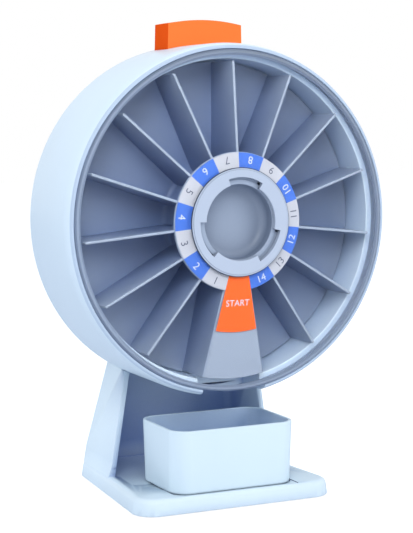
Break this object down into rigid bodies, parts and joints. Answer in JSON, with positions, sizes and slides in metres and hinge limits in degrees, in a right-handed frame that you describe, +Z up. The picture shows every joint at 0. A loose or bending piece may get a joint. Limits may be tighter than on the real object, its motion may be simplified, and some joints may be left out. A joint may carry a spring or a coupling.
{
  "type": "pill organizer",
  "caption": "Rotary pill organizer: drum with a turning pocket wheel behind a clear lid, a top button that indexes it through a rack and ratchet, and a stand with a catch cup",
  "frame": {"origin": "middle of the footprint at the level of the pads' undersides", "axes": "+Z up, the clear front faces -Y, +X to the viewer's right, the drum's axis along Y"},
  "size_m": [0.1968, 0.1186, 0.2727],
  "materials": {
    "shell": "satin moulded ABS, pale blue",
    "cup": "satin moulded plastic, pale blue",
    "wheel": "satin moulded plastic, grey blue",
    "clear": "clear polished acrylic",
    "button": "satin moulded plastic, orange",
    "label": "printed label, blue and off-white fields with digits",
    "start": "printed label, orange with a white word",
    "drive": "moulded acetal",
    "spring_steel": "bright spring steel",
    "screw_steel": "zinc plated steel",
    "pad": "matt rubber"
  },
  "bodies": {
    "frame": {"drum_housing": "shell", "back_cover": "shell", "hub_core": "shell", "stand": "shell", "detent_spring": "drive", "cover_screw_1": "screw_steel", "cover_screw_2": "screw_steel", "cover_screw_3": "screw_steel", "cover_screw_4": "screw_steel", "hub_screw_1": "screw_steel", "hub_screw_2": "screw_steel", "hub_screw_3": "screw_steel", "stand_screw_1": "screw_steel", "stand_screw_2": "screw_steel", "foot_pad_1": "pad", "foot_pad_2": "pad", "foot_pad_3": "pad", "foot_pad_4": "pad"},
    "button": {"button_cap": "button", "plunger_rack": "drive", "return_spring": "spring_steel"},
    "driver": {"driver_gear": "drive", "drive_pawl": "drive"},
    "wheel": {"pocket_wheel": "wheel", "number_ring": "label", "start_label": "start", "ratchet_ring": "drive", "wheel_clip": "spring_steel"},
    "lid": {"clear_lid": "clear"},
    "lock_ring": {"lock_ring": "shell"},
    "cup": {"cup": "cup"}
  },
  "joints": [
    {"name": "button_press", "type": "slide", "parent": "frame", "child": "button", "axis": [0, 0, -1], "range_m": [0, 0.0088], "stiffness_N_per_m": 450, "springref_m": -0.004, "deforming": ["return_spring"]},
    {"name": "driver_turn", "type": "hinge", "parent": "frame", "child": "driver", "pos_m": [0, -0.00565, 0.1602], "axis": [0, -1, 0], "range_deg": [0, 24], "deforming": ["detent_spring"]},
    {"name": "wheel_turn", "type": "hinge", "parent": "driver", "child": "wheel", "pos_m": [0, -0.03075, 0.1602], "axis": [0, -1, 0], "continuous": true, "deforming": ["drive_pawl"]},
    {"name": "lid_off", "type": "slide", "parent": "frame", "child": "lid", "axis": [0, -1, 0], "range_m": [0, 0.1]},
    {"name": "lock_turn", "type": "hinge", "parent": "lid", "child": "lock_ring", "pos_m": [0, -0.05575, 0.1602], "axis": [0, 1, 0], "range_deg": [0, 45]},
    {"name": "cup_out", "type": "slide", "parent": "frame", "child": "cup", "axis": [0, -0.9511, 0.309], "range_m": [0, 0.09]}
  ],
  "couplings": [
    {"joint": "driver_turn", "follows": "button_press", "rad_per_m": 47.619}
  ]
}
